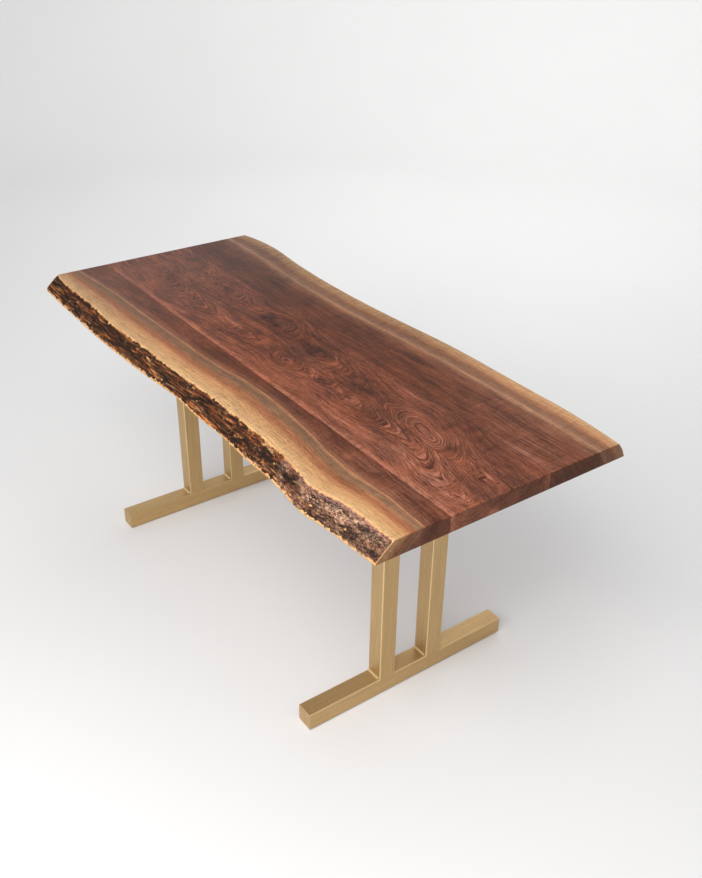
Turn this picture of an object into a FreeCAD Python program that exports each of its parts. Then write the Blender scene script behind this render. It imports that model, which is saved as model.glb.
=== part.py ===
"""Live-edge walnut table on two welded square-tube bases. Millimetres, +Z up.

X runs along the table, Y across it. The front, -Y, is the edge that keeps its bark.
The origin is on the floor under the centre of the table.
"""
import FreeCAD
import Part
import math
import os

from FreeCAD import Vector

# ---------------------------------------------------------------- driving dimensions
TABLE_HEIGHT = 762.0
TOP_LENGTH = 1664.0
TOP_THICKNESS = 42.0

# glued joints between the four boards, front to rear
FRONT_JOINT_Y = -168.0
CENTRE_JOINT_Y = -31.0
REAR_JOINT_Y = 114.0

# front live edge: station along X, then Y of the edge on the top and on the underside
FRONT_EDGE = [
    (-832, -324, -368), (-720, -334, -372), (-600, -330, -374), (-470, -335, -377),
    (-350, -337, -376), (-220, -328, -371), (-100, -327, -364), (20, -321, -356),
    (120, -314, -360), (230, -314, -356), (350, -312, -361), (460, -316, -360),
    (560, -330, -370), (610, -330, -373), (655, -316, -366), (730, -308, -359),
    (832, -307, -353),
]
# rear live edge, the same way
REAR_EDGE = [
    (-832, 336, 361), (-740, 351, 376), (-650, 352, 377), (-540, 340, 367),
    (-430, 331, 357), (-300, 326, 351), (-170, 326, 352), (-30, 331, 358),
    (110, 340, 366), (240, 347, 372), (380, 347, 371), (520, 345, 370),
    (650, 344, 370), (750, 337, 363), (832, 327, 353),
]
REAR_EDGE_BELLY = 3.0

# the bark lies on the sloping front edge, above a low rim of bare sapwood
RIM_HEIGHT = 6.0
RIM_LEDGE_RISE = 1.0
BARK_FOOT = 5.0
BARK_MIDDLE = 8.0
BARK_CROWN = 4.0
BARK_MIDDLE_HEIGHT = 25.0

# loose tenons, set in mortises across each glued joint
TENON_THICKNESS = 9.8
TENON_WIDTH = 24.0
TENON_LENGTH = 48.0
MORTISE_PLAY = 0.1
MORTISE_END_PLAY = 1.0
TENON_PITCH = 195.0
TENONS_EACH_SIDE = 4

# bases
BASE_OFFSET = 520.0
TUBE = 50.0
TUBE_WALL = 3.0
TUBE_CORNER = 4.0
FOOT_LENGTH = 635.0
POST_OFFSET = 77.0
CAP_THICKNESS = 3.0
PAD_THICKNESS = 2.0
PAD_RADIUS = 19.0
PAD_INSET = 40.0
WELD_LEG = 5.0
WELD_THROAT = 3.0

PLATE_WIDTH = 100.0
PLATE_LENGTH = 560.0
PLATE_THICKNESS = 6.0
PLATE_CORNER = 6.0

# M8 fasteners
BOLT_STATIONS_Y = (-230.0, 0.0, 230.0)
BOLT_OFFSET_X = 35.0
BOLT_RADIUS = 4.0
BOLT_LENGTH = 25.0
BOLT_HEAD_RADIUS = 7.0
BOLT_HEAD_HEIGHT = 4.4
BOLT_CROWN_RADIUS = 3.5
SOCKET_ACROSS_FLATS = 5.0
SOCKET_DEPTH = 2.6
PLATE_HOLE_RADIUS = 4.5
PLATE_SLOT_LENGTH = 20.0
WASHER_RADIUS = 12.0
WASHER_BORE_RADIUS = 4.2
WASHER_THICKNESS = 2.0
INSERT_RADIUS = 6.2
INSERT_LENGTH = 15.0
INSERT_RECESS = 0.5
INSERT_HOLE_RADIUS = 6.0
INSERT_HOLE_DEPTH = 20.0

# ---------------------------------------------------------------- derived heights
UNDERSIDE = TABLE_HEIGHT - TOP_THICKNESS
MID_THICKNESS = UNDERSIDE + TOP_THICKNESS / 2
RIM_TOP = UNDERSIDE + RIM_HEIGHT
BARK_BOTTOM = RIM_TOP + RIM_LEDGE_RISE
BARK_MIDDLE_Z = UNDERSIDE + BARK_MIDDLE_HEIGHT
PLATE_BOTTOM = UNDERSIDE - PLATE_THICKNESS
FOOT_TOP = PAD_THICKNESS + TUBE
HALF_LENGTH = TOP_LENGTH / 2
HALF_TUBE = TUBE / 2
FLAT_WIDTH = TUBE - 2 * TUBE_CORNER

UP = Vector(0, 0, 1)
ALONG_X = Vector(1, 0, 0)
ALONG_Y = Vector(0, 1, 0)


# ---------------------------------------------------------------- shared shapes
def mix(a, b, share):
    """The value that lies a share of the way from a to b."""
    return a + (b - a) * share


def edge_curve(points, z):
    """A smooth edge through (x, y) points at one height, with x as its parameter."""
    curve = Part.BSplineCurve()
    curve.interpolate(
        Points=[Vector(x, y, z) for x, y in points],
        Parameters=[float(x) for x, _ in points],
    )
    return curve.toShape()


def strip_outline(outer, inner, z):
    """Closed outline at one height between two edges that share their end stations."""
    first = [Vector(*outer[0], z), Vector(*inner[0], z)]
    last = [Vector(*outer[-1], z), Vector(*inner[-1], z)]
    return Part.Wire([
        edge_curve(outer, z),
        Part.makeLine(last[0], last[1]),
        edge_curve(inner, z),
        Part.makeLine(first[1], first[0]),
    ])


def straight(y):
    """A straight edge along the whole top."""
    return [(-HALF_LENGTH, y), (HALF_LENGTH, y)]


def stacked(sections):
    """A solid through outlines at rising heights, with straight sides between them."""
    return Part.makeLoft(sections, True, True)


def box_about(centre, size):
    """A box about its centre."""
    corner = centre - size * 0.5
    return Part.makeBox(size.x, size.y, size.z, corner)


def rounded_plate(centre, length_x, length_y, thickness, corner):
    """A plate about its centre, with its four upright edges rounded."""
    plate = box_about(centre, Vector(length_x, length_y, thickness))
    upright = [e for e in plate.Edges if abs(e.tangentAt(e.FirstParameter).z) > 0.9]
    return plate.makeFillet(corner, upright)


def slot_cutter(centre, half_width, length_y, height):
    """An upright slot along Y, from a point on its lower end face."""
    reach = length_y / 2 - half_width
    ends = [
        Part.makeCylinder(half_width, height, centre + Vector(0, side * reach, 0))
        for side in (-1, 1)
    ]
    if reach <= 0:
        return ends[0]
    middle = Part.makeBox(
        2 * half_width, 2 * reach, height, centre - Vector(half_width, reach, 0)
    )
    return middle.fuse(ends).removeSplitter()


def tenon(joint_y, x, play, end_play):
    """A tenon across a joint, its long edges rounded, or with play the mortise for it."""
    thickness = TENON_THICKNESS + 2 * play
    width = TENON_WIDTH + 2 * play
    length = TENON_LENGTH + 2 * end_play
    body = box_about(Vector(x, joint_y, MID_THICKNESS), Vector(width, length, thickness))
    lengthwise = [e for e in body.Edges if abs(e.tangentAt(e.FirstParameter).y) > 0.9]
    return body.makeFillet(thickness / 2 - 0.01, lengthwise)


def tenon_stations():
    """Where the tenons sit along a joint."""
    return [k * TENON_PITCH for k in range(-TENONS_EACH_SIDE, TENONS_EACH_SIDE + 1)]


def fastener_places(base_x):
    """The six fastener axes of one base, as (x, y)."""
    return [
        (base_x + side * BOLT_OFFSET_X, y) for side in (-1, 1) for y in BOLT_STATIONS_Y
    ]


def cut_board(blank, joints, low_y, high_y):
    """A board with the mortises of its glued edges and the holes of its inserts."""
    cutters = [
        tenon(joint_y, x, MORTISE_PLAY, MORTISE_END_PLAY)
        for joint_y in joints
        for x in tenon_stations()
    ]
    for base_x in (-BASE_OFFSET, BASE_OFFSET):
        for x, y in fastener_places(base_x):
            if low_y < y < high_y:
                foot = Vector(x, y, UNDERSIDE)
                cutters.append(Part.makeCylinder(INSERT_HOLE_RADIUS, INSERT_HOLE_DEPTH, foot))
    return blank.cut(cutters)


# ---------------------------------------------------------------- the top
def front_top_edge():
    return [(x, top) for x, top, _ in FRONT_EDGE]


def front_bottom_edge():
    return [(x, bottom) for x, _, bottom in FRONT_EDGE]


def under_bark_edge(z):
    """The wood's edge under the bark, on the slope from the rim's ledge up to the top."""
    share = (z - BARK_BOTTOM) / (TABLE_HEIGHT - BARK_BOTTOM)
    return [(x, mix(bottom + BARK_FOOT, top, share)) for x, top, bottom in FRONT_EDGE]


def shifted(points, distance):
    return [(x, y + distance) for x, y in points]


def front_live_edge_board():
    joint = straight(FRONT_JOINT_Y)
    blank = stacked([
        strip_outline(front_bottom_edge(), joint, UNDERSIDE),
        strip_outline(front_bottom_edge(), joint, RIM_TOP),
        strip_outline(under_bark_edge(BARK_BOTTOM), joint, BARK_BOTTOM),
        strip_outline(front_top_edge(), joint, TABLE_HEIGHT),
    ])
    return cut_board(blank, [FRONT_JOINT_Y], -400, FRONT_JOINT_Y)


def bark_strip():
    foot = under_bark_edge(BARK_BOTTOM)
    middle = under_bark_edge(BARK_MIDDLE_Z)
    crown = front_top_edge()
    return stacked([
        strip_outline(shifted(foot, -BARK_FOOT), foot, BARK_BOTTOM),
        strip_outline(shifted(middle, -BARK_MIDDLE), middle, BARK_MIDDLE_Z),
        strip_outline(shifted(crown, -BARK_CROWN), crown, TABLE_HEIGHT),
    ])


def centre_board(front_y, rear_y):
    blank = Part.makeBox(
        TOP_LENGTH, rear_y - front_y, TOP_THICKNESS, Vector(-HALF_LENGTH, front_y, UNDERSIDE)
    )
    return cut_board(blank, [front_y, rear_y], front_y, rear_y)


def rear_live_edge_board():
    joint = straight(REAR_JOINT_Y)
    bottom = [(x, low) for x, _, low in REAR_EDGE]
    middle = [(x, mix(low, top, 0.5) + REAR_EDGE_BELLY) for x, top, low in REAR_EDGE]
    top = [(x, high) for x, high, _ in REAR_EDGE]
    blank = stacked([
        strip_outline(bottom, joint, UNDERSIDE),
        strip_outline(middle, joint, MID_THICKNESS),
        strip_outline(top, joint, TABLE_HEIGHT),
    ])
    return cut_board(blank, [REAR_JOINT_Y], REAR_JOINT_Y, 400)


def joint_tenons(joint_y):
    return Part.makeCompound([tenon(joint_y, x, 0, 0) for x in tenon_stations()])


# ---------------------------------------------------------------- one base
def tube_upright(centre_x, centre_y, low_z, high_z):
    """A square tube on end, its corners rounded outside and inside."""
    height = high_z - low_z
    centre = Vector(centre_x, centre_y, low_z + height / 2)
    bore = TUBE - 2 * TUBE_WALL
    outside = rounded_plate(centre, TUBE, TUBE, height, TUBE_CORNER)
    inside = rounded_plate(centre, bore, bore, height, TUBE_CORNER - TUBE_WALL)
    return outside.cut(inside)


def lie_along_y(shape, about):
    """The shape turned about X so that what stood along Z lies along Y."""
    turned = shape.copy()
    turned.rotate(about, ALONG_X, 90)
    return turned


def foot_bar(base_x):
    middle = Vector(base_x, 0, PAD_THICKNESS + HALF_TUBE)
    half = FOOT_LENGTH / 2 - CAP_THICKNESS
    tube = tube_upright(base_x, 0, middle.z - half, middle.z + half)
    return lie_along_y(tube, middle)


def end_cap(base_x, side):
    y = side * (FOOT_LENGTH - CAP_THICKNESS) / 2
    centre = Vector(base_x, y, PAD_THICKNESS + HALF_TUBE)
    return lie_along_y(rounded_plate(centre, TUBE, TUBE, CAP_THICKNESS, TUBE_CORNER), centre)


def post(base_x, side):
    return tube_upright(base_x, side * POST_OFFSET, FOOT_TOP, PLATE_BOTTOM)


def mounting_plate(base_x):
    centre = Vector(base_x, 0, PLATE_BOTTOM + PLATE_THICKNESS / 2)
    plate = rounded_plate(centre, PLATE_WIDTH, PLATE_LENGTH, PLATE_THICKNESS, PLATE_CORNER)
    cutters = []
    for x, y in fastener_places(base_x):
        length = PLATE_SLOT_LENGTH if y else 2 * PLATE_HOLE_RADIUS
        foot = Vector(x, y, PLATE_BOTTOM)
        cutters.append(slot_cutter(foot, PLATE_HOLE_RADIUS, length, PLATE_THICKNESS))
    return plate.cut(cutters)


def fillet_bead(corner, along, out, rise):
    """A fillet weld in an inside corner: out and rise point along the two faces."""
    start = corner - along * (FLAT_WIDTH / 2)
    foot = start + out * WELD_LEG
    head = start + rise * WELD_LEG
    face = start + (out + rise) * WELD_THROAT
    outline = Part.Wire([
        Part.makeLine(start, foot),
        Part.Arc(foot, face, head).toShape(),
        Part.makeLine(head, start),
    ])
    return Part.Face(outline).extrude(along * FLAT_WIDTH)


def flush_bead(base_x, post_y, side):
    """The weld that fills the foot bar's rounded edge under a post, ground flush."""
    axis = Vector(base_x + side * (HALF_TUBE - TUBE_CORNER), post_y, FOOT_TOP - TUBE_CORNER)
    corner = axis + Vector(side * TUBE_CORNER, 0, TUBE_CORNER)
    top = axis + UP * TUBE_CORNER
    front = axis + ALONG_X * (side * TUBE_CORNER)
    bend = axis + Vector(side, 0, 1) * (TUBE_CORNER * math.sqrt(0.5))
    outline = Part.Wire([
        Part.makeLine(top, corner),
        Part.makeLine(corner, front),
        Part.Arc(front, bend, top).toShape(),
    ])
    bead = Part.Face(outline).extrude(ALONG_Y * FLAT_WIDTH)
    bead.translate(ALONG_Y * (-FLAT_WIDTH / 2))
    return bead


def base_welds(base_x):
    beads = []
    for post_y in (-POST_OFFSET, POST_OFFSET):
        for side in (-1, 1):
            across = ALONG_Y * side
            lengthwise = ALONG_X * side
            foot = Vector(base_x, post_y, FOOT_TOP) + across * HALF_TUBE
            head = Vector(base_x, post_y, PLATE_BOTTOM)
            beads.append(fillet_bead(foot, ALONG_X, across, UP))
            beads.append(fillet_bead(head + across * HALF_TUBE, ALONG_X, across, -UP))
            beads.append(fillet_bead(head + lengthwise * HALF_TUBE, ALONG_Y, lengthwise, -UP))
            beads.append(flush_bead(base_x, post_y, side))
    return Part.makeCompound(beads)


def floor_pads(base_x):
    reach = FOOT_LENGTH / 2 - PAD_INSET
    return Part.makeCompound([
        Part.makeCylinder(PAD_RADIUS, PAD_THICKNESS, Vector(base_x, side * reach, 0))
        for side in (-1, 1)
    ])


# ---------------------------------------------------------------- fasteners
def bolt(x, y):
    """A button-head bolt, head down, its shank up through the plate into the insert."""
    seat = PLATE_BOTTOM - WASHER_THICKNESS
    crown = seat - BOLT_HEAD_HEIGHT
    rim = Vector(BOLT_HEAD_RADIUS, 0, seat)
    shoulder = Vector(mix(BOLT_HEAD_RADIUS, BOLT_CROWN_RADIUS, 0.4), 0, mix(seat, crown, 0.7))
    flat = Vector(BOLT_CROWN_RADIUS, 0, crown)
    profile = Part.Wire([
        Part.makeLine(Vector(0, 0, seat), rim),
        Part.Arc(rim, shoulder, flat).toShape(),
        Part.makeLine(flat, Vector(0, 0, crown)),
        Part.makeLine(Vector(0, 0, crown), Vector(0, 0, seat)),
    ])
    head = Part.Face(profile).revolve(Vector(0, 0, 0), UP, 360)
    shank = Part.makeCylinder(BOLT_RADIUS, BOLT_LENGTH, Vector(0, 0, seat))
    across_corners = SOCKET_ACROSS_FLATS / math.cos(math.radians(30)) / 2
    corners = [
        Vector(
            across_corners * math.cos(math.radians(60 * k)),
            across_corners * math.sin(math.radians(60 * k)),
            crown,
        )
        for k in range(7)
    ]
    socket = Part.Face(Part.makePolygon(corners)).extrude(UP * SOCKET_DEPTH)
    whole = head.fuse(shank).cut(socket)
    whole.translate(Vector(x, y, 0))
    return whole


def ring(x, y, z, radius, bore, height):
    foot = Vector(x, y, z)
    return Part.makeCylinder(radius, height, foot).cut(Part.makeCylinder(bore, height, foot))


def washer(x, y):
    z = PLATE_BOTTOM - WASHER_THICKNESS
    return ring(x, y, z, WASHER_RADIUS, WASHER_BORE_RADIUS, WASHER_THICKNESS)


def threaded_insert(x, y):
    return ring(x, y, UNDERSIDE + INSERT_RECESS, INSERT_RADIUS, BOLT_RADIUS, INSERT_LENGTH)


def at_each_fastener(make, base_x):
    return Part.makeCompound([make(x, y) for x, y in fastener_places(base_x)])


# ---------------------------------------------------------------- all the nodes
def top_nodes():
    return {
        "front_live_edge_board": front_live_edge_board(),
        "bark_strip": bark_strip(),
        "front_centre_board": centre_board(FRONT_JOINT_Y, CENTRE_JOINT_Y),
        "rear_centre_board": centre_board(CENTRE_JOINT_Y, REAR_JOINT_Y),
        "rear_live_edge_board": rear_live_edge_board(),
        "front_joint_tenons": joint_tenons(FRONT_JOINT_Y),
        "centre_joint_tenons": joint_tenons(CENTRE_JOINT_Y),
        "rear_joint_tenons": joint_tenons(REAR_JOINT_Y),
    }


def base_nodes(base_x):
    return {
        "foot_bar": foot_bar(base_x),
        "front_end_cap": end_cap(base_x, -1),
        "rear_end_cap": end_cap(base_x, 1),
        "front_post": post(base_x, -1),
        "rear_post": post(base_x, 1),
        "mounting_plate": mounting_plate(base_x),
        "base_welds": base_welds(base_x),
        "floor_pads": floor_pads(base_x),
        "plate_bolts": at_each_fastener(bolt, base_x),
        "plate_washers": at_each_fastener(washer, base_x),
        "threaded_inserts": at_each_fastener(threaded_insert, base_x),
    }


nodes = top_nodes()
for side_name, base_x in (("left", -BASE_OFFSET), ("right", BASE_OFFSET)):
    for name, shape in base_nodes(base_x).items():
        nodes[f"{side_name}_{name}"] = shape

os.makedirs("parts", exist_ok=True)
for name, shape in nodes.items():
    if not shape.isValid():
        raise ValueError(f"{name} is not a valid shape")
    shape.exportStep(f"parts/{name}.step")
    print(f"{name}: {len(shape.Solids)} solids, {shape.Volume / 1000:.1f} cm3")
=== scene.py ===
"""Looks of the live-edge walnut table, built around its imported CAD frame. Metres, +Z up.

X runs along the table and Y across it; the front, -Y, is the edge that keeps its bark.
"""

import math

import bmesh
import bpy
import numpy as np
from mathutils import Euler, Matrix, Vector, noise


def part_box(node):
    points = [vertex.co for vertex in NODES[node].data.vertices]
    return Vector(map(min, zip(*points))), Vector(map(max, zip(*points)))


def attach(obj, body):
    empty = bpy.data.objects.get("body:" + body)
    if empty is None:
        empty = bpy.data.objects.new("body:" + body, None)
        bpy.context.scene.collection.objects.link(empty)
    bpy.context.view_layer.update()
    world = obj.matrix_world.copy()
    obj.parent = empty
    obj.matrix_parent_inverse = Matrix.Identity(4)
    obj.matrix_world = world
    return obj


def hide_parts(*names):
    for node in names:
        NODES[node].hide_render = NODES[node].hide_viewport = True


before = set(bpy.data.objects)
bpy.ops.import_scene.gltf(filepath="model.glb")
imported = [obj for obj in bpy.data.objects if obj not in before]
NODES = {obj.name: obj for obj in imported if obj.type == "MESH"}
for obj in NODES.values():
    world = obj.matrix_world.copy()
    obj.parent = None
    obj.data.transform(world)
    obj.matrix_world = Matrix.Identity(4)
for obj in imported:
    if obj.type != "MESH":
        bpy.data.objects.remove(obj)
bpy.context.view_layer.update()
MM = 0.001

LOWEST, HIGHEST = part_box("rear_centre_board")
HALF_LENGTH = HIGHEST[0]
TOP = HIGHEST[2]
BOTTOM = LOWEST[2]
CENTRE_JOINT = LOWEST[1]
REAR_JOINT = HIGHEST[1]
FRONT_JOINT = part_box("front_centre_board")[0][1]

EASED = 1.3 * MM              # rounding of the exposed board edges
BARK_SIDE_EASED = 0.5 * MM    # rounding of the front board's edges beside the bark
BOARD_GRID = 4.0 * MM         # spacing of the boards' points
HEIGHT_GRID = 6.0 * MM        # their spacing in height
EASED_ROW = 0.4 * MM          # an extra row of points that shapes a rounded edge
SEAM_ROWS = (0.3 * MM, 0.8 * MM)  # extra rows beside a joint, for its dark line
LIVE_EDGE_RUN = 4.0 * MM      # how far in from a live edge its unevenness dies out
OUTER_PART = 0.28             # a node's points further out than this |Y| are its outer edge
SAME_HEIGHT = 0.2 * MM        # the slack in finding a CAD outline's points by height

BARK_GRID = 1.75 * MM         # spacing of the bark's points along the table
BARK_ROWS = 37                # rows of points up its height
BARK_FOOT = TOP - 35 * MM     # the CAD bark's outline where it stands on the board's bare rim
BARK_BELLY = TOP - 17 * MM    # its middle outline
BARK_HEM = BOTTOM + 1.0 * MM  # the lowest place that the ragged rim reaches
BARK_SLOPE = 58 * MM          # its length down the sloping edge, for the pattern's scale
THINNEST_BARK = 0.4 * MM
BARK_GAP = 0.05 * MM          # kept between the bark's inner face and the board

# The heights at which the CAD's outlines give the sloping live edges.
FRONT_LEVELS = (BOTTOM, BARK_FOOT, TOP)
REAR_LEVELS = (BOTTOM, (BOTTOM + TOP) / 2, TOP)
BARK_LEVELS = (BOTTOM, BARK_FOOT, BARK_BELLY, TOP)


# ---------------------------------------------------------------- node materials
def srgb(red, green, blue):
    """A display colour, 0 to 255 a channel, as the linear RGBA that shaders take."""
    def linear(value):
        value /= 255
        return value / 12.92 if value <= 0.04045 else ((value + 0.055) / 1.055) ** 2.4
    return (linear(red), linear(green), linear(blue), 1.0)


class Material:
    """A node material under construction. Its methods return output sockets."""

    def __init__(self, name, roughness=0.5, metallic=0.0):
        self.material = bpy.data.materials.new(name)
        self.material.use_nodes = True
        self.tree = self.material.node_tree
        self.tree.nodes.clear()
        output = self.tree.nodes.new("ShaderNodeOutputMaterial")
        self.shader = self.tree.nodes.new("ShaderNodeBsdfPrincipled")
        self.tree.links.new(self.shader.outputs["BSDF"], output.inputs["Surface"])
        self.set(Roughness=roughness, Metallic=metallic)
        self.place = self.tree.nodes.new("ShaderNodeTexCoord").outputs["Object"]

    def feed(self, socket, value):
        if isinstance(value, bpy.types.NodeSocket):
            self.tree.links.new(value, socket)
        else:
            socket.default_value = value

    def set(self, **inputs):
        for name, value in inputs.items():
            self.feed(self.shader.inputs[name.replace("_", " ")], value)

    def node(self, kind, inputs, **settings):
        made = self.tree.nodes.new("ShaderNode" + kind)
        for name, value in settings.items():
            setattr(made, name, value)
        for key, value in inputs.items():
            self.feed(made.inputs[key], value)
        return made

    def math(self, operation, a, b=0.0, c=0.0):
        return self.node("Math", {0: a, 1: b, 2: c}, operation=operation).outputs[0]

    def apart(self, value, centre=0.5):
        """How far a value is from a centre."""
        return self.math("ABSOLUTE", self.math("SUBTRACT", value, centre))

    def attribute(self, name):
        return self.node("Attribute", {}, attribute_name=name).outputs["Fac"]

    def stretched(self, scale, offset=(0, 0, 0)):
        """Object coordinates, stretched by a scale for each axis."""
        inputs = {"Vector": self.place, "Scale": scale, "Location": offset}
        return self.node("Mapping", inputs).outputs[0]

    def noise(self, vector, scale=1.0, detail=3.0, roughness=0.5, distortion=0.0):
        inputs = {
            "Vector": vector, "Scale": scale, "Detail": detail,
            "Roughness": roughness, "Distortion": distortion,
        }
        return self.node("TexNoise", inputs).outputs["Fac"]

    def remap(self, value, low, high, to_low=0.0, to_high=1.0):
        inputs = {0: value, 1: low, 2: high, 3: to_low, 4: to_high}
        return self.node("MapRange", inputs).outputs[0]

    def ramp(self, value, stops):
        """A colour ramp through (position, colour) stops, positions from 0 to 1."""
        made = self.node("ValToRGB", {"Fac": value})
        elements = made.color_ramp.elements
        elements[0].position, elements[0].color = stops[0]
        elements[1].position, elements[1].color = stops[-1]
        for position, colour in stops[1:-1]:
            elements.new(position).color = colour
        return made.outputs["Color"]

    def mix(self, share, a, b, blend="MIX"):
        made = self.tree.nodes.new("ShaderNodeMix")
        made.data_type = "RGBA"
        made.blend_type = blend
        self.feed(made.inputs[0], share)
        self.feed(made.inputs[6], a)
        self.feed(made.inputs[7], b)
        return made.outputs[2]

    def shade(self, colour, amount):
        """A colour made darker or lighter by a factor."""
        grey = self.node("CombineColor", {0: amount, 1: amount, 2: amount}).outputs[0]
        return self.mix(1.0, colour, grey, "MULTIPLY")

    def bump(self, height, distance, strength):
        inputs = {"Height": height, "Distance": distance, "Strength": strength}
        self.set(Normal=self.node("Bump", inputs).outputs[0])


# Wood colours by zone: 0 is the live edge, 1 the pale line where the heartwood starts.
ZONE_SPAN = 2.0
FRONT_ZONES = (
    (0.00, (216, 174, 126)), (0.20, (206, 158, 110)), (0.40, (198, 144, 99)),
    (0.47, (184, 126, 86)), (0.56, (164, 103, 70)), (0.66, (156, 102, 70)),
    (0.76, (138, 99, 74)), (0.90, (126, 92, 69)), (0.95, (150, 106, 78)),
    (0.99, (180, 126, 89)), (1.02, (158, 106, 76)), (1.04, (120, 74, 53)),
    (1.07, (140, 91, 69)), (1.14, (124, 77, 57)), (1.24, (114, 66, 46)),
    (2.00, (111, 62, 42)),
)
REAR_ZONES = (
    (0.00, (208, 166, 122)), (0.25, (198, 148, 106)), (0.42, (184, 130, 92)),
    (0.55, (154, 104, 74)), (0.66, (142, 98, 74)), (0.86, (144, 104, 80)),
    (0.94, (172, 126, 96)), (1.00, (178, 130, 99)), (1.08, (152, 104, 78)),
    (1.25, (131, 84, 62)), (1.50, (116, 69, 49)), (2.00, (110, 62, 42)),
)
CENTRE_ZONES = ((0.00, (139, 81, 59)), (2.00, (139, 81, 59)))


def walnut(name, zones, contrast=1.0, ends=None):
    """Oiled walnut. zone, rings, stain and seam come from the board's points. ends is the
    shade of a sawn end's sapwood and heartwood, for the material of the end faces."""
    made = Material(name)
    made.set(Specular_IOR_Level=0.06)
    zone = made.attribute("zone")
    wobble = made.noise(made.stretched((5, 30, 30)), detail=3)
    placed = made.math("ADD", zone, made.remap(wobble, 0, 1, -0.03, 0.03))
    stops = [(at / ZONE_SPAN, srgb(*colour)) for at, colour in zones]
    colour = made.ramp(made.math("DIVIDE", placed, ZONE_SPAN), stops)
    heartwood = made.remap(zone, 0.9, 1.2)

    # Drifts of tint, and redder wood midway along the table.
    cloud = made.noise(made.stretched((9, 26, 26), (4, 4, 4)), detail=4, roughness=0.6)
    tint = made.mix(made.remap(cloud, 0.36, 0.64), srgb(196, 200, 208), srgb(255, 249, 240))
    tint = made.mix(heartwood, srgb(245, 245, 243), tint)
    colour = made.mix(1.0, colour, tint, "MULTIPLY")
    split = made.node("SeparateXYZ", {0: made.place})
    along, height = split.outputs[0], split.outputs[2]
    from_middle = made.apart(along, 0.05)
    redder = made.math("MULTIPLY", made.remap(from_middle, 0.20, 0.50, 0.7, 0.0), heartwood)
    colour = made.mix(redder, colour, made.mix(1.0, colour, srgb(255, 242, 230), "MULTIPLY"))

    # Grain that follows the rings: broad bands, dark late wood, fine lines, pores, fibres.
    drift = made.noise(made.stretched((9, 50, 50), (3, 1, 2)), detail=4, roughness=0.6)
    rings = made.math("MULTIPLY_ADD", drift, 0.5, made.attribute("rings"))

    def grain(scale, detail, roughness=0.6, shift=0.0):
        """Noise drawn out along the growth rings. scale is along, across and up."""
        flow = made.node("CombineXYZ", {
            0: made.math("MULTIPLY", along, scale[0]),
            1: made.math("MULTIPLY_ADD", rings, scale[1], shift),
            2: made.math("MULTIPLY", height, scale[2]),
        })
        return made.noise(flow.outputs[0], detail=detail, roughness=roughness)

    broad = made.remap(grain((3, 0.55, 10), 2), 0.32, 0.68, 0.84, 1.14)
    lines = grain((3.5, 2.1, 20), 2, 0.55, 5.0)
    presence = made.remap(grain((8, 0.8, 9), 2, 0.5, 3.0), 0.42, 0.62, 0.08, 1.0)
    late = made.math("MULTIPLY", made.remap(made.apart(lines), 0.045, 0.006), presence)
    late_shade = made.math("MULTIPLY_ADD", late, -0.42, 1.0)
    thin_shade = made.remap(grain((9, 4.6, 80), 3, 0.7, 9.0), 0.36, 0.62, 0.68, 1.19)
    if ends:
        pores = made.noise(made.stretched((60, 1500, 1500)), detail=2)
        fibres = made.noise(made.stretched((30, 90, 900)), detail=3)
    else:
        pores = grain((60, 4.6, 700), 3, 0.7, 1.0)
        fibres = grain((20, 9, 420), 4, 0.75, 2.0)
    pore_shade = made.remap(pores, 0.54, 0.66, 1.0, 0.50)
    fibre_shade = made.remap(fibres, 0.36, 0.64, 0.66, 1.30)
    bands = made.math("MULTIPLY", broad, late_shade)
    bands = made.math("POWER", bands, made.remap(heartwood, 0, 1, 0.35, contrast))
    shade = made.math("MULTIPLY", thin_shade, made.math("MULTIPLY", pore_shade, fibre_shade))
    shade = made.math("POWER", shade, made.remap(heartwood, 0, 1, 1.15, contrast))
    shade = made.math("MULTIPLY", shade, bands)

    # Ripples across the grain, stains, and the dark line of a joint.
    ripple = made.noise(made.stretched((190, 16, 16), (0, 2, 5)), detail=2, distortion=0.4)
    patches = made.noise(made.stretched((5, 18, 18), (7, 0, 0)), detail=2)
    ripple_depth = made.remap(patches, 0.42, 0.60, -0.03, -0.16)
    curl = made.math("MULTIPLY_ADD", ripple_depth, made.remap(ripple, 0.42, 0.62), 1.0)
    blot = made.noise(made.stretched((62, 12, 12), (0, 2, 5)), detail=3, distortion=0.8)
    stain = made.math("MULTIPLY", made.attribute("stain"), made.remap(blot, 0.32, 0.62, 0.4, 1.0))
    stain = made.math("SUBTRACT", 1.0, stain)
    seam = made.remap(made.attribute("seam"), 0.4, 1.2, 0.45, 1.0)
    for factor in (curl, stain, seam):
        shade = made.math("MULTIPLY", shade, factor)
    if ends:
        shade = made.math("MULTIPLY", shade, made.remap(heartwood, 0, 1, *ends))
        colour = made.mix(0.35, colour, srgb(152, 104, 84))
    pale = made.math("MULTIPLY", made.remap(shade, 1.0, 1.6, 0.0, 0.45), heartwood)
    colour = made.mix(pale, made.shade(colour, shade), srgb(174, 121, 100))
    # Painted reflection: towards the left end the colour is mixed a little towards pale grey, in
    # place of the sheen that the finish shows there.
    painted_sheen = made.remap(along, -0.10, -0.70, 0.0, 0.028)
    made.set(Base_Color=made.mix(painted_sheen, colour, srgb(226, 222, 222)))
    made.set(Roughness=made.remap(fibres, 0.3, 0.7, 0.36, 0.48))
    made.bump(made.math("SUBTRACT", made.math("MULTIPLY", fibres, 0.3), pores), 0.0001, 0.35)
    return made.material


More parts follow.
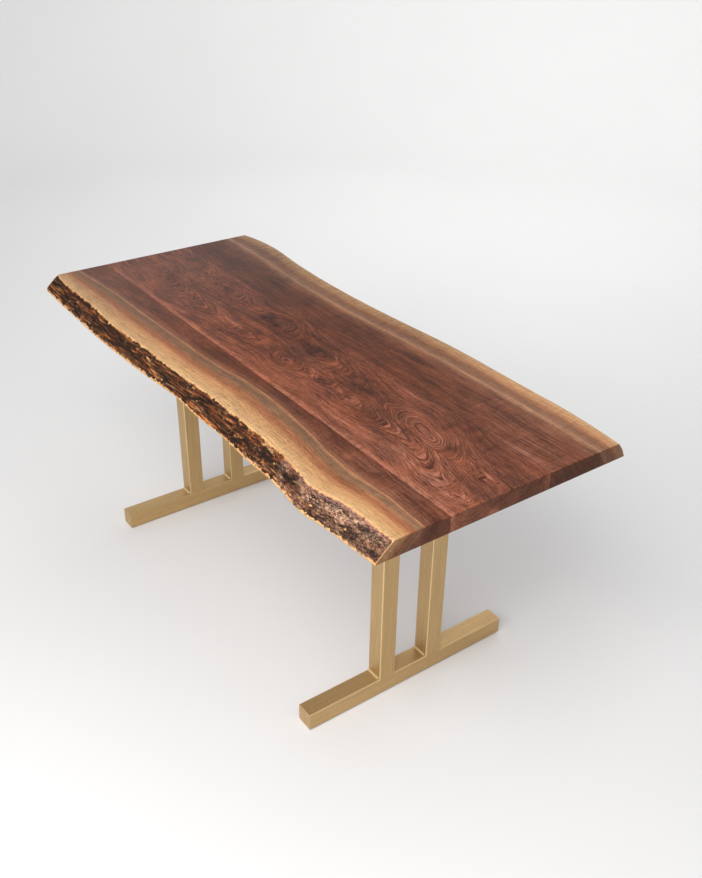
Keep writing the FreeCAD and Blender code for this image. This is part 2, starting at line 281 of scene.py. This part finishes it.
def bark_material():
    """Black-brown bark with tan chips and dark crevices, greyer and pinker where weathered."""
    made = Material("walnut_bark", roughness=0.85)
    made.set(Specular_IOR_Level=0.2)
    relief = made.attribute("relief")
    weather = made.attribute("weather")
    rise = made.attribute("rise")
    rough = made.noise(made.stretched((95, 260, 260)), detail=4, roughness=0.75)
    drawn = made.noise(made.stretched((13, 220, 220), (4, 2, 9)), detail=4, roughness=0.66)
    streaks = made.noise(made.stretched((7, 170, 170), (1, 8, 2)), detail=4, roughness=0.66)
    flakes = made.math("MULTIPLY_ADD", weather, made.math("SUBTRACT", rough, drawn), drawn)
    flakes = made.math(
        "MULTIPLY_ADD", made.attribute("streaked"), made.math("SUBTRACT", streaks, drawn), flakes
    )
    patches = made.noise(made.stretched((16, 60, 60), (1, 4, 0)), detail=4, roughness=0.62)
    height = made.math("ADD", relief, made.remap(flakes, 0.34, 0.66, -0.29, 0.29))
    dark = made.ramp(height, [
        (0.0, srgb(14, 9, 5)), (0.35, srgb(70, 41, 20)), (0.65, srgb(138, 84, 44)),
        (1.0, srgb(176, 120, 74)),
    ])
    scraped = made.ramp(height, [
        (0.0, srgb(26, 14, 8)), (0.35, srgb(112, 60, 30)), (0.7, srgb(166, 100, 54)),
        (1.0, srgb(222, 158, 96)),
    ])
    colour = made.mix(made.remap(patches, 0.48, 0.54), dark, scraped)
    grey = made.ramp(height, [
        (0.0, srgb(44, 30, 26)), (0.35, srgb(130, 92, 73)), (0.7, srgb(184, 138, 110)),
        (1.0, srgb(220, 174, 140)),
    ])
    greyed = made.remap(patches, 0.44, 0.58, 1.0, 0.45)
    colour = made.mix(made.math("MULTIPLY", greyed, weather), colour, grey)
    gloom = made.noise(made.stretched((11, 55, 55), (9, 6, 3)), detail=4, roughness=0.6)
    colour = made.mix(made.remap(gloom, 0.50, 0.57, 0.0, 0.60), colour, srgb(32, 21, 16))
    pink = made.math("MULTIPLY", made.remap(rise, 0.80, 0.94), weather)
    pink = made.math("MULTIPLY", pink, made.remap(rough, 0.38, 0.55, 0.15, 0.8))
    colour = made.mix(pink, colour, srgb(172, 124, 112))

    chips = made.noise(made.stretched((28, 150, 150), (8, 3, 1)), detail=4, roughness=0.62)
    where = made.noise(made.stretched((9, 40, 40), (3, 9, 2)), detail=2)
    chips = made.math("MULTIPLY", made.remap(chips, 0.54, 0.61), made.remap(where, 0.47, 0.55))
    chips = made.math("MULTIPLY", chips, made.attribute("chipped"))
    colour = made.mix(chips, colour, srgb(196, 150, 106))
    cracks = made.noise(made.stretched((34, 150, 150), (6, 1, 7)), detail=3, distortion=0.5)
    cracks = made.apart(cracks)
    pits = made.noise(made.stretched((170, 340, 340), (2, 7, 1)), detail=2)
    black = made.math("MAXIMUM", made.remap(cracks, 0.028, 0.010), made.remap(pits, 0.42, 0.36))
    colour = made.mix(made.math("MULTIPLY", black, 0.82), colour, srgb(22, 15, 13))
    squiggle = made.noise(made.stretched((60, 110, 110), (5, 5, 5)), detail=2, distortion=1.6)
    worm = made.remap(made.apart(squiggle), 0.006, 0.020, 0.9, 0.0)
    worm = made.math("MULTIPLY", worm, made.attribute("worm"))
    colour = made.mix(worm, colour, srgb(206, 180, 154))
    bare = made.mix(made.remap(flakes, 0.42, 0.56), srgb(226, 178, 122), srgb(206, 150, 98))
    colour = made.mix(made.attribute("bare"), colour, bare)
    made.set(Base_Color=colour)
    made.bump(flakes, 0.0016, 0.9)
    return made.material


def satin_gold(name, lengthwise):
    """Satin gold metal with fine brushing along one axis: 0, 1 or 2 for X, Y or Z. Its rounded
    edges, whose normals lie along no axis, are smoother and carry a painted highlight of paler
    gold."""
    made = Material(name, metallic=0.65)
    across = [900.0] * 3
    across[lengthwise] = 6.0
    brushing = made.noise(made.stretched(across), detail=4, roughness=0.65)
    speckle = made.noise(made.place, scale=420.0, detail=3, roughness=0.7)
    cloud = made.noise(made.place, scale=7.0, detail=3)
    tone = made.mix(cloud, srgb(191, 159, 108), srgb(207, 175, 124))
    tone = made.mix(made.remap(brushing, 0.35, 0.7, 0, 0.6), tone, srgb(154, 120, 76))
    tone = made.shade(tone, made.remap(speckle, 0.3, 0.7, 0.80, 1.22))
    normal = made.node("NewGeometry", {}).outputs["Normal"]
    facing = made.node("VectorMath", {0: normal}, operation="ABSOLUTE").outputs[0]
    facing = made.node("SeparateXYZ", {0: facing}).outputs
    facing = made.math("MAXIMUM", facing[0], made.math("MAXIMUM", facing[1], facing[2]))
    # Painted highlight: rounded edges are mixed towards pale gold, and made smoother too.
    edge = made.remap(facing, 0.96, 0.80)
    tone = made.mix(made.math("MULTIPLY", edge, 0.6), tone, srgb(250, 228, 172))
    made.set(Base_Color=tone)
    matt = made.remap(brushing, 0.25, 0.75, 0.34, 0.48)
    made.set(Roughness=made.math("MULTIPLY_ADD", edge, -0.14, matt))
    made.bump(brushing, 0.00008, 0.6)
    return made.material


def plain(name, dark, light, roughness, metallic=0.0, scale=400.0):
    """A small part's material: two close tones in fine noise, with a little relief."""
    made = Material(name, metallic=metallic)
    grain = made.noise(made.place, scale=scale, detail=4, roughness=0.6)
    made.set(Base_Color=made.mix(grain, srgb(*dark), srgb(*light)))
    made.set(Roughness=made.remap(grain, 0.3, 0.7, roughness - 0.06, roughness + 0.06))
    made.bump(grain, 0.0001, 0.4)
    return made.material


def wood(name, zones, contrast, ends):
    """A board's two materials: walnut for its long faces, and walnut for its sawn ends."""
    return [walnut(name, zones, contrast), walnut(name + "_end", zones, ends=ends)]


# ---------------------------------------------------------------- shapes
def add_object(name, data):
    made = bpy.data.objects.new(name, data)
    bpy.context.scene.collection.objects.link(made)
    return made


def outer_edge(node, height, side):
    """|Y| of a CAD node's outer edge at one height, as arrays of X and |Y| along the table."""
    found = {}
    for vertex in NODES[node].data.vertices:
        x, y, z = vertex.co
        outward = side * y
        if abs(z - height) < SAME_HEIGHT and outward > OUTER_PART:
            key = round(x, 4)
            found[key] = max(outward, found.get(key, 0))
    along = sorted(found)
    return np.array(along), np.array([found[x] for x in along])


def ruled(x, z, curves, heights):
    """|Y| at x and z of the surface that joins outer edges, one for each height."""
    rows = [np.interp(x, along, out) for along, out in curves]
    result = rows[0]
    for k in range(1, len(rows)):
        share = np.clip((z - heights[k - 1]) / (heights[k] - heights[k - 1]), 0, 1)
        result = result + share * (rows[k] - rows[k - 1])
    return result


def field(x, y, z, scale, octaves, seed):
    """Fractal noise, about -1 to 1, at each point. scale is (x, y, z) in 1/m."""
    return np.array([
        noise.fractal(Vector((a * scale[0] + seed, b * scale[1], c * scale[2])), 1.0, 2.0, octaves)
        for a, b, c in zip(x, y, z)
    ])


def spaced(low, high, step, fine):
    """Stations from low to high about a step apart, with extra ones at fine distances
    inside either end."""
    inner = max(fine)
    count = max(1, round((high - low - 2 * inner) / step))
    middle = np.linspace(low + inner, high - inner, count + 1)
    near = [low + d for d in (0.0, *fine)]
    far = [high - d for d in (0.0, *fine)]
    return np.unique(np.round([*near, *middle, *far], 7))


def block(name, stations, place, materials, replaced):
    """A closed skin of quads over a box grid. place turns the grid's stations, along X, Y and
    Z, into points and a dict of point attributes. End faces take the second material."""
    size = tuple(len(s) for s in stations)
    skin = np.zeros(size, bool)
    for axis in range(3):
        for end in (0, -1):
            skin[(slice(None),) * axis + (end,)] = True
    index = np.full(size, -1)
    index[skin] = np.arange(skin.sum())
    grids = np.meshgrid(*stations, indexing="ij")
    points, attributes = place(*(grid[skin] for grid in grids))

    faces, kinds = [], []
    for axis in range(3):
        for end in (0, -1):
            sheet = np.take(index, end, axis=axis)
            quads = np.stack(
                [sheet[:-1, :-1], sheet[:-1, 1:], sheet[1:, 1:], sheet[1:, :-1]], -1
            ).reshape(-1, 4)
            if (end == -1) != (axis == 1):
                quads = quads[:, ::-1]
            faces.append(quads)
            kinds.append(np.full(len(quads), int(axis == 0 and len(materials) > 1)))
    faces = np.concatenate(faces)
    mesh = bpy.data.meshes.new(name)
    mesh.from_pydata(points.tolist(), [], faces.tolist())
    mesh.polygons.foreach_set("material_index", np.concatenate(kinds).astype(np.int32))
    mesh.polygons.foreach_set("use_smooth", np.ones(len(faces), bool))
    for key, values in attributes.items():
        layer = mesh.attributes.new(key, "FLOAT", "POINT")
        layer.data.foreach_set("value", np.ascontiguousarray(values, np.float32))
    for material in materials:
        mesh.materials.append(material)
    mesh.update()
    made = add_object(name, mesh)
    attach(made, "root")
    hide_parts(replaced)


def eased(radius, *distances):
    """Distances from the flat faces, moved so that the edges between those faces are round."""
    short = [np.clip(radius - d, 0, radius) for d in distances]
    length = np.sqrt(sum(s * s for s in short))
    shrink = np.where(length > radius, radius / np.maximum(length, 1e-12), 1.0)
    return [d + s * (1 - shrink) for d, s in zip(distances, short)]


def from_faces(x, z):
    """Distances from the sawn end, the top and the underside, with their edges rounded."""
    end, top, bottom = HALF_LENGTH - abs(x), TOP - z, z - BOTTOM
    end, top = eased(EASED, end, top)
    end, bottom = eased(EASED, end, bottom)
    return end, top, bottom


def skin_points(x, y, z, end, top, bottom):
    """The points at those distances, on the same side of the board's middle as x and z."""
    height = np.where(z > (TOP + BOTTOM) / 2, TOP - top, BOTTOM + bottom)
    return np.stack([np.sign(x) * (HALF_LENGTH - end), y, height], -1)


X_STATIONS = spaced(-HALF_LENGTH, HALF_LENGTH, BOARD_GRID, (EASED_ROW, EASED))
Z_STATIONS = spaced(BOTTOM, TOP, HEIGHT_GRID, (EASED_ROW, EASED))


def smooth_curve(x, curve):
    """A curve given by points in mm, smoothed over about 60 mm, read at x in metres."""
    along, across = np.array(curve, float).T
    fine = np.linspace(-900, 900, 361)
    values = np.interp(fine, along, across)
    reach = 7
    kernel = np.hanning(2 * reach + 1)
    padded = np.pad(values, reach, mode="edge")
    values = np.convolve(padded, kernel / kernel.sum(), mode="valid")
    return np.interp(x / MM, fine, values) * MM


def spots_at(x, y, spots):
    """Sum of soft round hills. A spot is X, Y, half length and half width in mm, and height."""
    total = np.zeros_like(x)
    for at_x, at_y, length, width, height in spots:
        reach = ((x / MM - at_x) / length) ** 2 + ((y / MM - at_y) / width) ** 2
        total += height * np.exp(-reach)
    return total


# The line along each centre board where its growth rings lie flat, as (X, Y) in mm, and
# the eyes on that line: X, half length before it, half length after it, and strength.
REAR_CENTRE_LINE = (
    (-832, 96), (-620, 62), (-430, 44), (-130, 50), (75, 32), (330, 20), (560, 0), (832, -34),
)
REAR_CENTRE_EYES = (
    (560, 110, 78, 1.0), (-130, 60, 60, 0.22), (75, 40, 40, 0.10), (-430, 60, 60, 0.10),
)
FRONT_CENTRE_LINE = (
    (-832, -28), (-600, -62), (-330, -78), (65, -54), (350, -44), (600, -66), (832, -110),
)
FRONT_CENTRE_EYES = (
    (65, 50, 50, 0.16), (350, 70, 80, 0.06), (-600, 160, 140, 0.12),
)
EYE_RINGS = 7.4               # rings from an eye's middle to one FIGURE_WIDTH beside it
FIGURE_WIDTH = 62 * MM
ARCHES = 8                    # arches in a metre of board, up to the X of last_arch
RING_SWAY = 5 * MM            # how far the line sways from side to side
RING_LEAN = 0.4               # how far the rings lean over, for each metre down
# Darker places, and lighter ones below zero: pale ovals with dark rims, ripples behind the
# rear eye, cloudy patches and small nicks. Each is X, Y, half length and half width in mm,
# and strength.
REAR_CENTRE_STAINS = (
    (590, 76, 90, 26, 0.3), (505, 106, 16, 14, 0.25), (560, 78, 13, 30, 0.28),
    (600, 96, 13, 22, 0.36), (642, 88, 12, 22, 0.3), (690, 82, 13, 20, 0.25),
    (560, 40, 300, 90, -0.1), (-700, 40, 260, 110, 0.1), (740, 60, 120, 34, 0.3),
    (550, 2, 60, 20, -0.3), (640, 4, 16, 26, 0.4), (440, 44, 80, 22, -0.2),
    (-80, 30, 480, 110, 0.38),
    (-130, 30, 90, 10, 0.5), (-130, 52, 26, 7, -0.5), (-200, 52, 40, 30, 0.3),
    (20, 78, 60, 7, 0.5), (75, 34, 44, 20, 0.35), (-430, 45, 40, 16, 0.35),
    (190, 0, 9, 4, 0.8), (240, -20, 26, 5, 0.6), (310, 8, 40, 9, 0.35),
    (760, 116, 90, 10, -0.9), (280, 52, 90, 18, 0.25),
)
REAR_CENTRE_PALE_ENDS = ((104, 742, 9, 34, -0.45),)
FRONT_CENTRE_STAINS = (
    (65, -56, 56, 25, 0.45), (65, -56, 42, 17, -0.75), (340, -48, 40, 13, -0.55),
    (440, -72, 70, 22, 0.42), (520, -92, 60, 20, 0.2), (640, -76, 50, 26, 0.26),
    (760, -120, 90, 20, -0.2), (760, -62, 60, 22, 0.3), (-200, -96, 90, 14, 0.25),
    (-560, -60, 140, 30, 0.2), (-700, -80, 260, 80, 0.12), (-230, -62, 60, 22, -0.25),
    (420, -161, 640, 8, -1.15), (600, -110, 330, 70, -0.34), (-500, -160, 420, 10, -0.35),
)
FRONT_CENTRE_PALE_ENDS = ((-52, 726, 22, 9, -0.9), (-40, 750, 30, 8, 0.2))


def figure(x, y, z, line, eyes, last_arch, seed):
    """Growth rings of a plain-sawn board: long arches, nested closely round each eye."""
    flat = smooth_curve(x, line) + RING_SWAY * np.sin(x * 21 + seed)
    gap = np.ones_like(x)
    for at_x, before, after, strength in eyes:
        reach = (x / MM - at_x) / np.where(x / MM < at_x, before, after)
        gap -= strength * np.exp(-reach ** 2)
    across = (y - flat + (TOP - z) * RING_LEAN) / FIGURE_WIDTH
    rings = EYE_RINGS * (np.clip(gap, 0, 1) ** 2 + across ** 2) ** 0.6
    rings += ARCHES * np.minimum(x, last_arch)
    # Three sizes of irregularity, the largest first.
    rings += 0.52 * field(x, y, z, (2.5, 9, 6), 2, seed)
    rings += 0.17 * field(x, y, z, (7, 28, 16), 2, seed + 50)
    rings += 0.07 * field(x, y, z, (24, 80, 16), 2, seed + 70)
    return rings + (TOP - z) / MM * 0.10


def centre_board(name, low, high, line, eyes, last_arch, stains, pale_ends, materials, seed):
    """A plain-sawn board between two joints. pale_ends are spots of Y and Z on its end faces."""
    def place(x, y, z):
        stain = spots_at(x, y, stains)
        stain += spots_at(y, z, pale_ends) * (HALF_LENGTH - abs(x) < EASED)
        return skin_points(x, y, z, *from_faces(x, z)), {
            "zone": np.full_like(x, ZONE_SPAN),
            "rings": figure(x, y, z, line, eyes, last_arch, seed),
            "stain": np.clip(stain, -1.2, 0.9),
            "seam": np.minimum(y - low, high - y) / MM,
        }

    y_stations = spaced(low, high, BOARD_GRID, SEAM_ROWS)
    block(name + "_wood", (X_STATIONS, y_stations, Z_STATIONS), place, materials, name)


# The pale line where each outer board's heartwood starts, as (X, |Y|) in mm along the top.
FRONT_HEART_LINE = (
    (-832, 258), (-780, 255), (-600, 240), (-350, 236), (-100, 228), (0, 221), (100, 209),
    (200, 204), (300, 208), (400, 217), (500, 232), (600, 236), (700, 226), (800, 231),
    (832, 233),
)
REAR_HEART_LINE = (
    (-832, 270), (-780, 270), (-600, 268), (-350, 248), (-100, 248), (40, 257), (150, 263),
    (300, 269), (400, 268), (600, 270), (760, 266), (832, 264),
)
FRONT_STAINS = (
    (130, -185, 420, 24, 0.06), (690, -190, 190, 34, -0.24), (770, -246, 190, 14, -0.4),
    (-720, -300, 330, 60, 0.25), (600, -268, 60, 14, 0.2),
)
REAR_STAINS = (
    (700, 170, 330, 75, -0.36), (300, 122, 220, 9, 0.3), (-600, 210, 420, 90, 0.36),
    (-560, 318, 420, 34, 0.34), (130, 318, 300, 36, 0.36), (780, 121, 90, 9, -0.8),
    (600, 322, 260, 40, -0.16), (-740, 345, 260, 50, 0.25),
)
OUTER_RINGS = 17              # growth rings from a live edge to its heartwood line


def live_edge_board(name, side, joint, levels, heart_line, stains, materials, seed):
    """An outer board, from its live edge to its joint. side is -1 for the front, 1 for the
    rear, and levels are the heights whose CAD outline gives the sloping edge."""
    curves = [outer_edge(name, height, side) for height in levels]
    brow = curves[-1]

    def place(x, v, z):
        """v runs from 0 at the live edge to 1 at the joint."""
        out = ruled(x, z, curves, levels)
        depth = v * (out - side * joint)
        zero = np.zeros_like(x)
        worn = field(x, zero, z, (26, 1, 40), 3, seed)
        if side < 0:
            rough = np.where(z < BARK_HEM, (0.3 + 0.5 * worn) * MM, 0.0)
        else:
            ripple = field(x, zero, z, (9, 1, 60), 3, seed + 5)
            middle = np.sin(np.pi * np.clip((z - BOTTOM) / (TOP - BOTTOM), 0, 1))
            rough = (0.5 + 0.5 * worn + 0.9 * ripple * middle) * MM
        rough = np.clip(rough, 0, None) * np.clip(1 - depth / LIVE_EDGE_RUN, 0, 1)
        side_radius = EASED if side > 0 else BARK_SIDE_EASED
        end, top, bottom = from_faces(x, z)
        inset, top = eased(side_radius, depth, top)
        inset, bottom = eased(side_radius, inset, bottom)
        y = side * (out - inset - rough)
        zone = depth / (np.interp(x, *brow) - smooth_curve(x, heart_line))
        wander = field(x, side * depth, z, (3, 12, 8), 2, seed + 9)
        return skin_points(x, y, z, end, top, bottom), {
            "zone": np.clip(zone + 0.015 * wander, 0, 2 * ZONE_SPAN),
            "rings": zone * OUTER_RINGS + 1.6 * wander + seed,
            "stain": spots_at(x, y, stains),
            "seam": (out - side * joint - depth) / MM,
        }

    def mirrored(x, v, z):
        return place(x, 1 - v, z)

    width = brow[1].mean() - side * joint
    rows = [0.0, EASED_ROW, EASED, LIVE_EDGE_RUN]
    rows += list(np.arange(2 * LIVE_EDGE_RUN, width - LIVE_EDGE_RUN, BOARD_GRID))
    rows += [width - d for d in SEAM_ROWS[::-1]]
    rows += [width]
    shares = np.array(rows) / width
    skin = place
    if side > 0:
        shares = 1 - shares[::-1]
        skin = mirrored
    stations = (X_STATIONS, shares, np.unique(np.append(Z_STATIONS, levels)))
    block(name + "_wood", stations, skin, materials, name)


# Where the bark has come off: X, Z, half length and half height in mm, and weight.
BARE_SPOTS = ((-150, 748, 30, 7, 1.0), (330, 738, 22, 6, 0.7), (455, 744, 40, 5, 0.8))
# Where along X the bark changes from left to right.
STREAKED_TO = 0.22
SHORT_SCALES_FROM = 0.25
MOST_CHIPPED_AT = 0.32
WEATHERED_FROM = 0.44


def bark(material):
    """The bark on the front edge: a thin closed sheet, rough outside and ragged at both rims."""
    board_edges = [outer_edge("front_live_edge_board", h, -1) for h in FRONT_LEVELS]
    bark_edges = [board_edges[0], *(outer_edge("bark_strip", h, -1) for h in BARK_LEVELS[1:])]

    def place(x, v, s):
        """v is 1 on the bark's inner face, and s runs from 0 at its foot to 1 at its top."""
        z = BARK_HEM + s * (TOP - BARK_HEM)
        inner = ruled(x, z, board_edges, FRONT_LEVELS)
        outer = ruled(x, z, bark_edges, BARK_LEVELS)
        room = np.maximum(outer - inner, THINNEST_BARK)
        slope = s * BARK_SLOPE
        zero = np.zeros_like(x)
        lumps = field(x, slope, zero, (20, 42, 1), 3, 3.0)
        drawn = 0.24 * x + 0.76 * np.clip(x - SHORT_SCALES_FROM, 0, None)
        scales = field(drawn, slope, zero, (80, 190, 1), 4, 11.0)
        # Cracks run between the cells of a bent Voronoi pattern.
        bend = field(drawn, slope, zero, (30, 60, 1), 2, 41.0) * 0.5
        crevice = np.array([
            noise.voronoi(Vector((a * 48 + c, b * 150 + c, 0)))[0]
            for a, b, c in zip(drawn, slope, bend)
        ])
        gap = np.clip((crevice[:, 1] - crevice[:, 0]) / 0.28, 0, 1)
        relief = np.clip((0.46 + 0.42 * lumps + 0.50 * scales) * (0.25 + 0.75 * gap), 0, 1)
        # Ragged rims and worn places leave only a thin film, coloured as bare wood.
        ragged = field(x, zero, zero, (34, 1, 1), 4, 23.0)
        fringe = field(x, slope, zero, (90, 90, 1), 3, 27.0)
        low_rim = np.clip((s - 0.07 - 0.07 * ragged - 0.13 * fringe) / 0.035, 0, 1)
        high_rim = np.clip((0.965 + 0.05 * ragged + 0.06 * fringe - s) / 0.04, 0, 1)
        holes = field(x, slope, zero, (30, 90, 1), 5, 31.0) + 0.35 * spots_at(x, z, BARE_SPOTS)
        worn = np.clip((holes - 0.70) / 0.10, 0, 1)
        cover = low_rim * high_rim * (1 - worn)
        thick = THINNEST_BARK + cover * (0.15 + 0.85 * relief) * (room - THINNEST_BARK)
        y = -(inner + BARK_GAP + (1 - v) * (thick - BARK_GAP))
        sawn = np.clip(1.3 - (HALF_LENGTH - abs(x)) / (1.1 * MM), 0, 0.8)
        weather = np.clip((x - WEATHERED_FROM + 0.10 * lumps) / 0.12, 0, 1)
        chipped = 0.10 + 0.75 * np.exp(-((x - MOST_CHIPPED_AT) / 0.22) ** 2)
        return np.stack([x, y, z], -1), {
            "relief": relief,
            "bare": np.clip(np.maximum(1 - cover * 1.5, sawn), 0, 1),
            "weather": weather,
            "streaked": np.clip((STREAKED_TO - x) / 0.3, 0, 1),
            "rise": s,
            "chipped": chipped + 0.3 * (s < 0.35),
            "worm": np.clip(weather * np.exp(-((s - 0.66) / 0.16) ** 2) * (2 * lumps + 0.9), 0, 1),
        }

    stations = (
        spaced(-HALF_LENGTH, HALF_LENGTH, BARK_GRID, (0.8 * MM,)),
        np.array([0.0, 1.0]), np.linspace(0, 1, BARK_ROWS),
    )
    block("bark_crust", stations, place, [material], "bark_strip")


# ---------------------------------------------------------------- stage, lights and camera
def backdrop():
    """A pale floor that curves up into a round wall, so that it shows no corner."""
    middle, flat, bend, height = 3.0, 4.6, 1.6, 4.2
    turns, steps = 96, 12
    profile = [(middle, 0.0), (flat, 0.0)]
    for k in range(1, steps + 1):
        angle = math.radians(90 * k / steps)
        profile.append((flat + bend * math.sin(angle), bend * (1 - math.cos(angle))))
    profile.append((flat + bend, height))
    mesh = bpy.data.meshes.new("backdrop")
    shell = bmesh.new()
    rings = []
    for radius, z in profile:
        corners = [math.tau * k / turns for k in range(turns)]
        rings.append([
            shell.verts.new((radius * math.cos(a), radius * math.sin(a), z)) for a in corners
        ])
    shell.faces.new(rings[0])
    for inner, outer in zip(rings, rings[1:]):
        for k in range(turns):
            after = (k + 1) % turns
            shell.faces.new((inner[k], outer[k], outer[after], inner[after]))
    for face in shell.faces:
        face.smooth = True
    shell.to_mesh(mesh)
    shell.free()
    made = add_object("backdrop", mesh)
    paint = Material("backdrop_paint", roughness=0.75)
    mottle = paint.noise(paint.place, scale=1.3, detail=4)
    paint.set(Base_Color=paint.mix(mottle, srgb(219, 218, 217), srgb(224, 223, 222)))
    mesh.materials.append(paint.material)


def area_light(name, place, target, size, power):
    data = bpy.data.lights.new(name, "AREA")
    data.shape = "RECTANGLE"
    data.size, data.size_y = size
    data.energy = power
    made = add_object(name, data)
    made.location = place
    made.rotation_euler = (Vector(target) - Vector(place)).to_track_quat("-Z", "Y").to_euler()


def lights():
    world = bpy.data.worlds.new("world")
    world.use_nodes = True
    sky = world.node_tree.nodes["Background"].inputs
    sky["Color"].default_value = (0.96, 0.975, 1.0, 1)
    sky["Strength"].default_value = 0.68
    bpy.context.scene.world = world
    area_light("front_softbox", (1.5, -2.1, 2.8), (0.4, -0.2, 0.3), (2.4, 2.2), 120)
    area_light("wall_wash", (-1.6, 2.6, 3.9), (-3.5, 4.2, 1.0), (3.0, 1.5), 95)


def camera():
    data = bpy.data.cameras.new("camera")
    data.lens = 40.5
    made = add_object("camera", data)
    place = Vector((2.0113, -1.2729, 1.8925))
    aim = Vector((0.4772, -0.1562, 0.762))
    roll = math.radians(0.89)
    facing = (aim - place).to_track_quat("-Z", "Y")
    made.rotation_euler = (facing.to_matrix() @ Euler((0, 0, roll)).to_matrix()).to_euler()
    made.location = place
    bpy.context.scene.camera = made


bpy.context.scene.view_settings.view_transform = "Standard"
camera()
backdrop()
lights()

FRONT_WOOD = wood("walnut_front", FRONT_ZONES, 1.1, (0.66, 0.62))
REAR_WOOD = wood("walnut_rear", REAR_ZONES, 1.1, (0.60, 0.42))
FRONT_CENTRE_WOOD = wood("walnut_centre_front", CENTRE_ZONES, 1.35, (0.68, 0.68))
REAR_CENTRE_WOOD = wood("walnut_centre_rear", CENTRE_ZONES, 1.5, (0.62, 0.62))
centre_board(
    "rear_centre_board", CENTRE_JOINT, REAR_JOINT, REAR_CENTRE_LINE, REAR_CENTRE_EYES,
    last_arch=0.56, stains=REAR_CENTRE_STAINS, pale_ends=REAR_CENTRE_PALE_ENDS,
    materials=REAR_CENTRE_WOOD, seed=4.0,
)
centre_board(
    "front_centre_board", FRONT_JOINT, CENTRE_JOINT, FRONT_CENTRE_LINE, FRONT_CENTRE_EYES,
    last_arch=HALF_LENGTH, stains=FRONT_CENTRE_STAINS, pale_ends=FRONT_CENTRE_PALE_ENDS,
    materials=FRONT_CENTRE_WOOD, seed=9.0,
)
live_edge_board(
    "front_live_edge_board", -1, FRONT_JOINT, FRONT_LEVELS, FRONT_HEART_LINE,
    stains=FRONT_STAINS, materials=FRONT_WOOD, seed=14.0,
)
live_edge_board(
    "rear_live_edge_board", 1, REAR_JOINT, REAR_LEVELS, REAR_HEART_LINE,
    stains=REAR_STAINS, materials=REAR_WOOD, seed=21.0,
)
bark(bark_material())

GOLD_ALONG_Y = satin_gold("satin_gold_y", 1)
GOLD_ALONG_Z = satin_gold("satin_gold_z", 2)
BEECH = plain("beech_tenon", (196, 160, 118), (214, 180, 140), 0.6)
FELT = plain("felt_pad", (42, 40, 38), (70, 67, 63), 0.9, scale=1500)
BLACK = plain("black_oxide", (24, 24, 26), (38, 38, 40), 0.42, metallic=1.0)
ZINC = plain("zinc_plate", (168, 170, 172), (192, 194, 196), 0.34, metallic=1.0)
FINISHES = {
    "foot_bar": GOLD_ALONG_Y, "front_end_cap": GOLD_ALONG_Z, "rear_end_cap": GOLD_ALONG_Z,
    "front_post": GOLD_ALONG_Z, "rear_post": GOLD_ALONG_Z, "mounting_plate": GOLD_ALONG_Y,
    "base_welds": GOLD_ALONG_Y, "floor_pads": FELT, "plate_bolts": BLACK,
    "plate_washers": BLACK, "threaded_inserts": ZINC,
}
for side in ("left", "right"):
    for part, material in FINISHES.items():
        NODES[f"{side}_{part}"].material_slots[0].material = material
for joint in ("front", "centre", "rear"):
    NODES[f"{joint}_joint_tenons"].material_slots[0].material = BEECH
